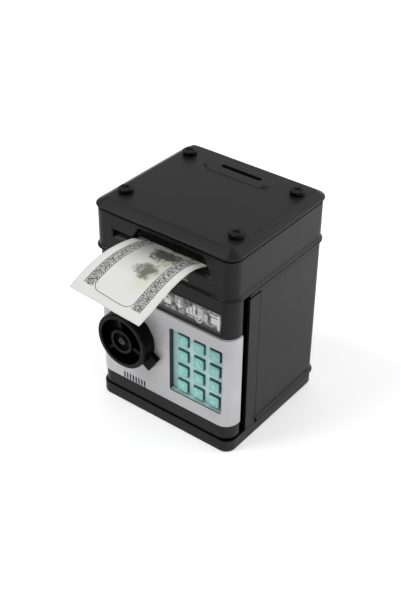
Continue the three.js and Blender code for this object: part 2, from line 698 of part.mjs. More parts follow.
// The floor of the keypad's window, with a hole for each key.
function keypadBezel() {
  const front = -HALF_D + PAD.floor;
  const holes = [];
  for (let row = 0; row < 4; row++) {
    for (let column = 0; column < 3; column++) {
      const { x, z } = keyCentre(column, row);
      const halfX = KEY.width / 2 + GAP;
      const halfZ = KEY.height / 2 + GAP;
      holes.push(block([x - halfX, x + halfX], [-70, -50], [z - halfZ, z + halfZ]));
    }
  }
  return cut(window(2.3, [front, front + 1.6]), ...holes);
}

// A key: a crowned cap on a stem, with a flange behind the keypad's floor that stops it coming out.
function key({ x, z }) {
  const floorFront = -HALF_D + PAD.floor;
  const face = floorFront - KEY.face;
  const flange = floorFront + 1.6 + GAP;
  const outline = (inX, inZ, radius, y) =>
    roundedRect(KEY.width / 2 - inX, KEY.height / 2 - inZ, radius)
      .getPoints(2)
      .map((p) => [x + p.x, y, z + p.y]);
  const cap = loft([
    outline(0, 0, 1.4, flange + 0.5),
    outline(0, 0, 1.4, face + 0.7),
    outline(0.6, 0.6, 1.2, face),
  ]);
  const halfX = KEY.width / 2 + 0.9;
  const halfZ = KEY.height / 2 + 0.9;
  return join(cap, block([x - halfX, x + halfX], [flange, flange + 1], [z - halfZ, z + halfZ]));
}

const keypadBoard = () => block([7, 61], [-52.8, -51.4], [34, 101.6]);

function speaker() {
  const magnet = rod("y", 7, [-55.4, -52], GRILLE.x, 29, 20);
  return join(rod("y", 12.5, [-58.6, -55.2], GRILLE.x, 29, 28), magnet);
}

const lockSolenoid = () =>
  join(
    block([-14, 3], [-58.4, -51.2], [88, 99]),
    rod("x", 1.6, [-19, -13.5], -54.8, 93.5, 14),
  );

function doorBackCover() {
  const plate = block([-64.6, 64.6], [-50.4, DOOR.back - 0.2], [DOOR.bottom + 2.8, DOOR.top - 2.8]);
  const hingeClear = block([51, 66], [-56, -46], [0, 26.5]);
  const hingeClearTop = block([51, 66], [-56, -46], [130.5, 150]);
  const guide = ([x0, x1]) =>
    cut(
      block([x0, x1], [DOOR.back - 0.5, BOLT.back + 1.8], [BOLT.bottom - 2.2, BOLT.top + 2.2]),
      block(
        [x0 - 1, x1 + 1],
        [BOLT.front - GAP, BOLT.back + GAP],
        [BOLT.bottom - GAP, BOLT.top + GAP],
      ),
    );
  return cut(
    join(plate, guide([-55, -51]), guide([-22.8, -19.6])),
    hingeClear,
    hingeClearTop,
    rod("y", KNOB.shaft + GAP, [-55, -45], KNOB.x, KNOB.z),
  );
}

const hingePin = (heights) => rod("z", HINGE.pin, heights, HINGE.x, HINGE.y, 16);

// ---- Knob and latch -----------------------------------------------------------------------------
function dialKnob() {
  const back = -HALF_D - GAP;
  const front = -HALF_D - KNOB.rise;
  const flangeFront = back - 2.2;
  const { x, z, radius, rim, hub } = KNOB;
  const flange = rod("y", radius + 0.3, [flangeFront, back], x, z, 40);
  const ringWall = cut(
    join(
      rod("y", radius, [front + 0.8, back - 0.5], x, z, 40),
      rod("y", radius - 0.8, [front, front + 1.2], x, z, 40),
    ),
    rod("y", radius - rim, [front - 1, flangeFront], x, z, 40),
  );
  const cup = cut(
    rod("y", hub, [front + 0.6, back - 0.5], x, z, 28),
    rod("y", hub - 2.6, [front - 1, front + 4.4], x, z, 24),
  );
  const boss = rod("y", 4, [front + 3.2, front + 6.2], x, z, 18);
  const turnTo = (piece, degrees) =>
    piece.translate(-x, 0, -z).rotate(0, -degrees, 0).translate(x, 0, z);
  const spokes = SPOKE_ANGLES.map((angle) =>
    turnTo(
      block([x + hub - 1.5, x + radius - rim + 1], [front + 3.2, flangeFront + 1], [z - 1.6, z + 1.6]),
      angle,
    ),
  );
  const half = POINTER.width / 2;
  const pointer = turnTo(
    block([x + 15, x + POINTER.reach], [back - POINTER.thick, back], [z - half, z + half]),
    POINTER.angle,
  );
  const inside = rod("y", radius - rim, [front - 1, flangeFront], x, z, 40);
  const shaft = rod("y", KNOB.shaft, [back - 1, DOOR.back + 0.3], x, z);
  const screwHole = rod("y", 1.6, [front - 1, front + 9], x, z, 12);
  return cut(join(flange, ringWall, cut(pointer, inside), cup, boss, ...spokes, shaft), screwHole);
}

function knobScrew() {
  const seat = -HALF_D - KNOB.rise + 3.2 - GAP;
  const head = rod("y", 3, [seat - 1.6, seat], KNOB.x, KNOB.z, 18);
  const shank = rod("y", 1.2, [seat - 0.5, seat + 5], KNOB.x, KNOB.z, 12);
  const arm = 1.9;
  const thin = 0.5;
  const front = [seat - 3, seat - 0.7];
  return cut(
    join(head, shank),
    block([KNOB.x - arm, KNOB.x + arm], front, [KNOB.z - thin, KNOB.z + thin]),
    block([KNOB.x - thin, KNOB.x + thin], front, [KNOB.z - arm, KNOB.z + arm]),
  );
}

function latchCrank() {
  const front = DOOR.back + 0.6;
  const angle = THREE.MathUtils.degToRad(CRANK.start);
  const pinX = KNOB.x + CRANK.radius * Math.cos(angle);
  const pinZ = KNOB.z + CRANK.radius * Math.sin(angle);
  return join(
    rod("y", CRANK.disc, [front, BOLT.front - GAP], KNOB.x, KNOB.z, 28),
    rod("y", CRANK.pin, [BOLT.front - 0.6, BOLT.back + 0.8], pinX, pinZ, 14),
  );
}

function latchBolt() {
  const angle = THREE.MathUtils.degToRad(CRANK.start);
  const pinX = KNOB.x + CRANK.radius * Math.cos(angle);
  const half = CRANK.pin + 0.45;
  return cut(
    block([BOLT.tip, BOLT.tail], [BOLT.front, BOLT.back], [BOLT.bottom, BOLT.top]),
    block([pinX - half, pinX + half], [-60, -30], [BOLT.bottom - 1, KNOB.z + CRANK.radius + 1.8]),
  );
}

// ---- The assembly -------------------------------------------------------------------------------
add("base_tray", baseTray(), black);
add("battery_cover", batteryCover(), black);
add("battery_screw", batteryScrew(), steel);
for (const i of [0, 1, 2]) add(`battery_cell_${i + 1}`, batteryCell(i), cellWrap);
add("body_shell", bodyShell(), black);
add("head_shell", headShell(), black);
add("top_cover", topCover(), black);
add("coin_chute", coinChute(), black);
add("divider_floor", dividerFloor(), black);
add("slot_throat", slotThroat(), deepBlack);
const corners = [
  [-1, -1],
  [1, -1],
  [-1, 1],
  [1, 1],
];
corners.forEach(([sx, sy], i) => {
  add(`cover_screw_${i + 1}`, coverScrew(sx * SCREW.x, sy * SCREW.y), deepBlack);
  add(`foot_${i + 1}`, rod("z", FOOT.radius, [-DATUM, FOOT.high], sx * FOOT.x, sy * FOOT.y, 24), rubber);
});
add("feed_chassis", feedChassis(), zinc);
add("feed_motor", feedMotor(), zinc);
add("bill_sensor", billSensor(), deepBlack);
add("main_board", mainBoard(), board);
add("drive_shaft", driveShaft(), steel);
add("drive_roller_left", roller(ROLLER.left, DRIVE), rubber);
add("drive_roller_right", roller(ROLLER.right, DRIVE), rubber);
add("drive_gear", driveGear(), nylon);
add("idler_shaft", idlerShaft(), steel);
add("idler_roller_left", roller(ROLLER.left, IDLER), rubber);
add("idler_roller_right", roller(ROLLER.right, IDLER), rubber);
add("counter_gear", counterGear(), nylon);
add("motor_pinion", motorPinion(), nylon);
add("bank_note", bankNote(), paper);
add("hinge_pin_bottom", hingePin([5.4, 20.4]), steel);
add("hinge_pin_top", hingePin([136.6, 151.6]), steel);
add("door_shell", doorShell(), black);
add("silver_panel", silverPanel(), silver);
add("label_strip", labelStrip(), labelPrint);
add("keypad_bezel", keypadBezel(), paleTeal);
add("keypad_board", keypadBoard(), board);
add("speaker", speaker(), zinc);
add("lock_solenoid", lockSolenoid(), zinc);
add("door_back_cover", doorBackCover(), black);
const keyNames = ["1", "2", "3", "4", "5", "6", "7", "8", "9", "star", "0", "hash"];
keyNames.forEach((name, i) => add(`key_${name}`, key(keyCentre(i % 3, Math.floor(i / 3))), teal));
add("dial_knob", dialKnob(), deepBlack);
add("knob_screw", knobScrew(), steel);
add("latch_crank", latchCrank(), nylon);
add("latch_bolt", latchBolt(), steel);

export default group;
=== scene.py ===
"""The looks of a toy cash machine that works as a savings bank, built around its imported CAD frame.

Metres, +Z up, the door faces -Y. Every size and place comes from the frame's own nodes.
"""

import json
import math

import bmesh
import bpy
from mathutils import Matrix, Vector


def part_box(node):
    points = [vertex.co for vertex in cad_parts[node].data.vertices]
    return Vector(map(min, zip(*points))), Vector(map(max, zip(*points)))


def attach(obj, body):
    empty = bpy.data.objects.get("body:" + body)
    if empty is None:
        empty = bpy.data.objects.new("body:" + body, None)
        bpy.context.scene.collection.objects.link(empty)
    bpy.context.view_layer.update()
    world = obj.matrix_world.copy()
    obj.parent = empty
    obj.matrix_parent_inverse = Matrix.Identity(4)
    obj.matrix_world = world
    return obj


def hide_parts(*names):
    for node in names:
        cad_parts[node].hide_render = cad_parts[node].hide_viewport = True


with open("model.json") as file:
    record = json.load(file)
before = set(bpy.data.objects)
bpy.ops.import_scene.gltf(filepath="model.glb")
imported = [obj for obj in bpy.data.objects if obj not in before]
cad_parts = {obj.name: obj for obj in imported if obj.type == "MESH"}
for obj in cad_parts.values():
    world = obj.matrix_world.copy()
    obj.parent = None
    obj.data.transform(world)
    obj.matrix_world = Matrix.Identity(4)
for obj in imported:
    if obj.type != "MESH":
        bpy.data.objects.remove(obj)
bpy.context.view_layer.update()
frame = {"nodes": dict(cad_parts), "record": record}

MM = 0.001

# ---- Camera and studio ---------------------------------------------------------------------------
CAMERA_AZIMUTH = 36.713
CAMERA_ELEVATION = 34.579
CAMERA_ROLL = 0.999
CAMERA_DISTANCE = 0.9187
CAMERA_TARGET = Vector((0, 0, 0.10068))
CAMERA_LENS = 66.57
CAMERA_SHIFT = (-0.01569, -0.01902)
DOME = {"front": 0.32, "right": 0.44, "back": 0.62}  # the studio dome's strength by direction
SUN = {"energy": 1.55, "spread": 30, "azimuth": -45, "elevation": 48}
BACK_PANEL = {"energy": 9.0, "size": 0.9, "place": Vector((0.95, 1.1, 0.82))}
FLOOR_HALF = 6.0
FLOOR_GLOW = 0.34
FLOOR_TONE = (0.9, 0.9, 0.9, 1)
WHITE = (1, 1, 1, 1)

# ---- Edge rounding of the carried-over CAD pieces: width in mm and segments -----------------------
EDGE = {
    "base_tray": (0.45, 3),
    "body_shell": (0.3, 2),
    "head_shell": (0.35, 3),
    "top_cover": (0.3, 3),
    "slot_throat": (0.25, 2),
    "door_shell": (0.35, 3),
    "silver_panel": (0.05, 1),
    "keypad_bezel": (0.1, 2),
    "dial_knob": (0.4, 3),
    "cover_screw": (0.3, 2),
    "knob_screw": (0.15, 2),
}
EDGE_DEFAULT = (0.2, 2)
KEEP_FACETS = ("silver_panel",)  # curved plates whose faces aren't merged before the rounding
KEEP_WHOLE = ("top_cover",)  # wide flat pieces whose merged faces stay whole
EDGE_ANGLE = math.radians(32)
FLAT_ANGLE = math.radians(0.6)  # faces nearer in angle than this are merged
WELD_GAP = 0.004 * MM
SHADE_BY_AREA = 60  # how strongly large faces set the shading of the rounded edges


# ==== Material building ===========================================================================
JOINT_EDGE = 0.12 * MM  # how softly the painted shade in a joint fades out


class Shader:
    """A node material under construction: each call adds nodes and gives back the last one's output."""

    def __init__(self, name, **principled):
        self.material = bpy.data.materials.new(name)
        self.material.use_nodes = True
        self.tree = self.material.node_tree
        self.bsdf = self.tree.nodes["Principled BSDF"]
        for socket, value in principled.items():
            self.bsdf.inputs[socket.replace("_", " ")].default_value = value
        self.place = self.tree.nodes.new("ShaderNodeTexCoord").outputs["Object"]

    def node(self, kind, inputs=None, **settings):
        made = self.tree.nodes.new(kind)
        for key, value in settings.items():
            setattr(made, key, value)
        for socket, value in (inputs or {}).items():
            if isinstance(value, bpy.types.NodeSocket):
                self.tree.links.new(value, made.inputs[socket])
            else:
                made.inputs[socket].default_value = value
        return made

    def math(self, operation, first, second=0.0, clamp=False):
        inputs = {0: first, 1: second}
        return self.node("ShaderNodeMath", inputs, operation=operation, use_clamp=clamp).outputs[0]

    def product(self, *values):
        result, *others = values
        for value in others:
            result = self.math("MULTIPLY", result, value)
        return result

    def length(self, first, second):
        """The length of the line whose two components are given."""
        squares = self.product(first, first), self.product(second, second)
        return self.math("SQRT", self.math("ADD", *squares))

    def noise(self, scale, detail=2.0, roughness=0.5, vector=None):
        inputs = {"Vector": vector or self.place, "Scale": scale, "Detail": detail, "Roughness": roughness}
        return self.node("ShaderNodeTexNoise", inputs).outputs["Fac"]

    def spread(self, value, low, high, to_low=0.0, to_high=1.0, smooth=False):
        inputs = {"Value": value, "From Min": low, "From Max": high, "To Min": to_low, "To Max": to_high}
        kind = "SMOOTHSTEP" if smooth else "LINEAR"
        return self.node("ShaderNodeMapRange", inputs, interpolation_type=kind).outputs["Result"]

    def blend(self, share, first, second):
        mixer = self.node("ShaderNodeMix", data_type="RGBA")
        for socket, value in ((0, share), (6, first), (7, second)):
            if isinstance(value, bpy.types.NodeSocket):
                self.tree.links.new(value, mixer.inputs[socket])
            elif socket:
                mixer.inputs[socket].default_value = (*value, 1)
            else:
                mixer.inputs[socket].default_value = value
        return mixer.outputs[2]

    def axes(self, vector=None):
        """The X, Y and Z of a vector, which is the place on the piece unless another is given."""
        return self.node("ShaderNodeSeparateXYZ", {"Vector": vector or self.place}).outputs

    def facing(self, axis):
        """How far the surface faces along an axis in the piece's own space."""
        return self.axes(self.tree.nodes.new("ShaderNodeTexCoord").outputs["Normal"])[axis]

    def facing_front(self, low=0.4, high=0.8):
        """1 where the surface faces -Y, 0 where it turns away, between two cosines."""
        return self.spread(self.math("MULTIPLY", self.facing("Y"), -1.0), low, high, smooth=True)

    def facing_up(self, low=0.4, high=0.8):
        return self.spread(self.facing("Z"), low, high, smooth=True)

    def to(self, socket, value):
        self.tree.links.new(value, self.bsdf.inputs[socket])

    def bump(self, height, distance, strength=1.0, before=None):
        inputs = {"Height": height, "Distance": distance, "Strength": strength}
        if before is not None:
            inputs["Normal"] = before
        return self.node("ShaderNodeBump", inputs).outputs["Normal"]


def grey(value):
    return (value, value, value * 1.02)


# The colour of the painted shade in the case's joints.
JOINT_SHADE = (0.0006, 0.0006, 0.0006)
UNLIT = (0, 0, 0)


def moulded(name, tones, roughness, grain=2600, grain_depth=0.04 * MM, specular=0.3, joints=(), front=1.0):
    """Injection-moulded plastic: a faint cloudiness between two tones, a fine spark-eroded grain and slow
    flow marks. Painted shade darkens it in each joint, given as a box by its lowest and highest corners.
    Its front faces are painted darker as shade, keeping a share of its tone."""
    s = Shader(name, Specular_IOR_Level=specular)
    clouds = s.noise(38, 4, 0.6)
    specks = s.noise(grain * 0.6, 2, 0.7)
    share = s.math("ADD", s.spread(clouds, 0.3, 0.7, 0.0, 0.75), s.spread(specks, 0.35, 0.65, -0.15, 0.25))
    colour = s.blend(share, *map(grey, tones))
    # Front faces are painted darker, as shade: they keep only a share of the tone.
    if front < 1:
        shade = s.product(s.facing_front(0.75, 0.97), 1 - front)
        colour = s.blend(shade, colour, UNLIT)
    # Painted shade darkens the box of each joint.
    if joints:
        parts = s.axes()
        joint_shade = 0.0
        for corners in joints:
            limits = []
            for axis, low, high in zip("XYZ", *corners):
                limits.append(s.spread(parts[axis], low - JOINT_EDGE, low + JOINT_EDGE, smooth=True))
                limits.append(s.spread(parts[axis], high + JOINT_EDGE, high - JOINT_EDGE, smooth=True))
            joint_shade = s.math("MAXIMUM", s.product(*limits), joint_shade)
        colour = s.blend(joint_shade, colour, JOINT_SHADE)
    s.to("Base Color", colour)
    s.to("Roughness", s.spread(s.math("ADD", clouds, specks), 0.7, 1.3, *roughness))
    flow = s.bump(s.noise(120, 2, 0.5), 0.05 * MM, 0.35)
    s.to("Normal", s.bump(s.noise(grain, 3, 0.6), grain_depth, 0.45, flow))
    return s.material


def dial_plastic():
    """The dial's black: satin on its front ring, with painted shade down its barrel and in its pockets."""
    s = Shader("dial_black", Specular_IOR_Level=0.06)
    clouds = s.noise(60, 4, 0.6)
    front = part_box("dial_knob")[0].y
    depth = s.axes()["Y"]
    near = s.spread(depth, front + 5.5 * MM, front + 1.5 * MM, 0.06)
    # The front ring near the front is painted lit; the barrel and the pockets are painted in shade.
    lit = s.product(s.facing_front(0.4, 0.9), near)
    ring = s.blend(s.spread(clouds, 0.3, 0.7), (0.009, 0.009, 0.0092), (0.014, 0.014, 0.0143))
    s.to("Base Color", s.blend(lit, (0.0012, 0.0012, 0.0012), ring))
    s.to("Roughness", s.spread(clouds, 0.3, 0.7, 0.32, 0.45))
    s.to("Normal", s.bump(s.noise(1800, 3, 0.6), 0.03 * MM, 0.45))
    return s.material


def screw_plastic():
    """The lid screws: a top painted lighter where it faces up, mottled at random, and a fluted rim painted
    dark as shade.
    """
    s = Shader("screw_black", Specular_IOR_Level=0.12)
    # worn: painted light on the top where it faces up, mottled at random; the rest is painted shade.
    worn = s.product(s.facing_up(0.35, 0.95), s.spread(s.noise(500, 3), 0.3, 0.7, 0.6, 1))
    s.to("Base Color", s.blend(worn, (0.0015, 0.0015, 0.0016), (0.012, 0.012, 0.0122)))
    s.to("Roughness", s.spread(s.noise(900, 3), 0.3, 0.7, 0.4, 0.55))
    s.to("Normal", s.bump(s.noise(1500, 3), 0.03 * MM, 0.5))
    return s.material


def painted_silver():
    """Silver paint over plastic: metal flake in a soft lacquer, with slight orange peel."""
    s = Shader("silver_paint", Metallic=0.45, Specular_IOR_Level=0.5)
    flake = s.node("ShaderNodeTexVoronoi", {"Vector": s.place, "Scale": 5200.0}).outputs["Color"]
    value = s.node("ShaderNodeSeparateColor", {"Color": flake}).outputs[0]
    clouds = s.noise(26, 3, 0.5)
    share = s.math("ADD", s.spread(clouds, 0.3, 0.7, 0.0, 0.6), s.spread(value, 0, 1, 0.0, 0.4))
    painted = s.blend(share, (0.36, 0.355, 0.365), (0.52, 0.515, 0.525))
    low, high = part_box("silver_panel")
    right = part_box("keypad_bezel")[1].x
    parts = s.axes()
    # The inner walls of the window, the dial's hole and the slots are painted dark as shade, and the outer
    # edges silver.
    inner = s.product(
        s.spread(parts["X"], -right - MM, -right),
        s.spread(parts["X"], right + MM, right),
        s.spread(parts["Z"], low.z + MM, low.z + 2 * MM),
        s.spread(parts["Z"], high.z - MM, high.z - 2 * MM),
    )
    turned = s.math("SUBTRACT", 1.0, s.facing_front(0.3, 0.6))
    # The window's sill is dark at its front edge and pale behind that.
    depth = s.spread(parts["Y"], low.y + 0.9 * MM, low.y + 1.5 * MM)
    lip = s.blend(depth, (0.05, 0.058, 0.06), (0.62, 0.8, 0.79))
    # Walls that don't face up are painted dark as shade; the sill that faces up takes the lip's tones.
    wall = s.blend(s.facing_up(), (0.04, 0.048, 0.053), lip)
    s.to("Base Color", s.blend(s.product(inner, turned), painted, wall))
    s.to("Roughness", s.spread(value, 0, 1, 0.3, 0.5))
    peel = s.bump(s.noise(900, 2, 0.5), 0.02 * MM, 0.5)
    s.to("Normal", s.bump(value, 0.01 * MM, 0.2, peel))
    return s.material


def metal(name, dark, light, roughness, stretch=(1, 1, 1), scale=900):
    """Plated or turned steel with fine lines along the stretched axis."""
    s = Shader(name, Metallic=1.0)
    mapped = s.node("ShaderNodeMapping", {"Vector": s.place, "Scale": stretch}).outputs["Vector"]
    lines = s.noise(scale, 3, 0.6, mapped)
    tarnish = s.noise(70, 3, 0.6)
    s.to("Base Color", s.blend(s.spread(tarnish, 0.3, 0.7), dark, light))
    s.to("Roughness", s.spread(lines, 0.3, 0.7, roughness * 0.7, roughness * 1.3))
    s.to("Normal", s.bump(lines, 0.02 * MM, 0.3))
    return s.material


def rubber():
    s = Shader("rubber", Specular_IOR_Level=0.25)
    dust = s.noise(160, 5, 0.65)
    s.to("Base Color", s.blend(s.spread(dust, 0.35, 0.75), (0.012, 0.012, 0.012), (0.034, 0.033, 0.032)))
    s.to("Roughness", s.spread(dust, 0.3, 0.7, 0.72, 0.92))
    s.to("Normal", s.bump(s.noise(2600, 3, 0.7), 0.05 * MM, 0.6))
    return s.material


def circuit_board():
    """Green solder mask over copper tracks."""
    s = Shader("circuit_board", Specular_IOR_Level=0.5)
    turned = s.node("ShaderNodeMapping", {"Vector": s.place, "Rotation": (0.4, 0.5, 0.78)})
    inputs = {"Vector": turned.outputs["Vector"], "Scale": 210.0}
    cells = s.node("ShaderNodeTexVoronoi", inputs, distance="MANHATTAN")
    tracks = s.spread(cells.outputs["Distance"], 0.34, 0.4, 0.0, 1.0)
    s.to("Base Color", s.blend(tracks, (0.012, 0.12, 0.045), (0.03, 0.2, 0.08)))
    s.to("Roughness", s.spread(s.noise(700, 3), 0.3, 0.7, 0.28, 0.45))
    s.to("Normal", s.bump(tracks, 0.03 * MM, 0.6))
    return s.material


def nylon():
    s = Shader("nylon", Specular_IOR_Level=0.4)
    clouds = s.noise(220, 4, 0.6)
    s.to("Base Color", s.blend(s.spread(clouds, 0.3, 0.7), (0.66, 0.64, 0.57), (0.8, 0.78, 0.71)))
    s.to("Roughness", s.spread(clouds, 0.3, 0.7, 0.38, 0.52))
    s.to("Normal", s.bump(s.noise(3000, 2), 0.02 * MM, 0.4))
    return s.material


CELL_BAND = 12.5 * MM  # where the end band starts along the cell


def cell_wrap():
    """A dry cell's shrink film: a copper-coloured end band over charcoal, no marks."""
    s = Shader("cell_wrap", Specular_IOR_Level=0.5, Coat_Weight=0.5, Coat_Roughness=0.15)
    band = s.spread(s.axes()["X"], CELL_BAND, CELL_BAND + 0.3 * MM)
    s.to("Base Color", s.blend(band, (0.03, 0.033, 0.038), (0.42, 0.2, 0.09)))
    s.to("Roughness", s.spread(s.noise(400, 3), 0.3, 0.7, 0.28, 0.42))
    return s.material


def key_plastic():
    """The keys' teal: mottled on the face, with painted shade in deep teal down the sides."""
    s = Shader("key_plastic", Specular_IOR_Level=0.4)
    clouds = s.noise(330, 4, 0.65)
    streak = s.noise(900, 2, 0.5)
    share = s.math("ADD", s.spread(clouds, 0.33, 0.67, 0.0, 0.8), s.spread(streak, 0.3, 0.7, -0.1, 0.2))
    face = s.blend(share, (0.16, 0.43, 0.4), (0.34, 0.64, 0.6))
    s.to("Base Color", s.blend(s.facing_front(0.35, 0.8), (0.014, 0.105, 0.1), face))
    s.to("Roughness", s.spread(clouds, 0.3, 0.7, 0.34, 0.46))
    s.to("Normal", s.bump(s.noise(2800, 2), 0.02 * MM, 0.4))
    return s.material


def bezel_plastic():
    """The keypad's floor: pale teal where it faces the front; its walls carry painted shade, less where
    they face up.
    """
    s = Shader("bezel_plastic", Specular_IOR_Level=0.4)
    clouds = s.noise(90, 4, 0.6)
    floor = s.blend(s.spread(clouds, 0.3, 0.7), (0.42, 0.63, 0.63), (0.54, 0.74, 0.74))
    wall = s.blend(s.facing_up(), (0.05, 0.075, 0.08), (0.36, 0.52, 0.52))
    s.to("Base Color", s.blend(s.facing_front(), wall, floor))
    s.to("Roughness", s.spread(clouds, 0.3, 0.7, 0.42, 0.55))
    s.to("Normal", s.bump(s.noise(2400, 3, 0.6), 0.03 * MM, 0.4))
    return s.material


def label_film():
    """The printed film above the keypad: charcoal, with lighter hazy panels in its upper part."""
    s = Shader("label_film", Specular_IOR_Level=0.5)
    low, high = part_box("label_strip")
    height = s.spread(s.axes()["Z"], low.z, high.z)
    band = s.product(s.spread(height, 0.13, 0.2, smooth=True), s.spread(height, 0.97, 0.93, smooth=True))
    haze = s.spread(s.noise(190, 3, 0.6), 0.42, 0.6, 0.08, 1.0)
    s.to("Base Color", s.blend(s.product(band, haze), (0.012, 0.012, 0.013), (0.3, 0.3, 0.305)))
    s.to("Roughness", s.spread(s.noise(800, 2), 0.3, 0.7, 0.26, 0.38))
    return s.material


def print_ink(name, light, dark):
    """Screen-printed ink, slightly worn."""
    s = Shader(name, Specular_IOR_Level=0.3)
    worn = s.noise(1300, 4, 0.7)
    s.to("Base Color", s.blend(s.spread(worn, 0.35, 0.62), dark, light))
    s.to("Roughness", s.spread(worn, 0.3, 0.7, 0.45, 0.65))
    s.to("Normal", s.bump(worn, 0.01 * MM, 0.3))
    return s.material


# ==== The note's print ============================================================================
NOTE_WIDTH = 66.3  # mm, across the note
NOTE_LENGTH = 156.0
FRAME_LINE = {"x": 15.2, "y": 7.8, "radius": 7.0, "width": 0.26}  # the fine line inside the border
BAND = {"out": 7.0, "inner": 15.0, "pitch": 4.8, "end": 8.6}  # the lace along both long edges, mm in
LACE = {"ring": 2.1, "slant": 0.7, "wave": 2.4}  # the rings' radius, and the waves' slope and pitch
VIGNETTES = (  # centre across, centre from the end, spread across, spread along, strength
    (38.5, 66.5, 16.5, 12.0, 1.35),
    (39.0, 43.5, 10.5, 9.5, 1.12),
    (22.0, 66.0, 14.0, 12.0, 0.5),
)
DUSK = {"from": 30, "to": 68, "most": 0.62}  # the grey that deepens from the end towards the middle
PAPER = (0.8, 0.8, 0.785)
PAPER_FIBRE = (0.66, 0.67, 0.62)
WARM_TINT = (0.68, 0.7, 0.5)
PRINT_DARK = (0.03, 0.032, 0.026)
PRINT_MID = (0.13, 0.137, 0.108)


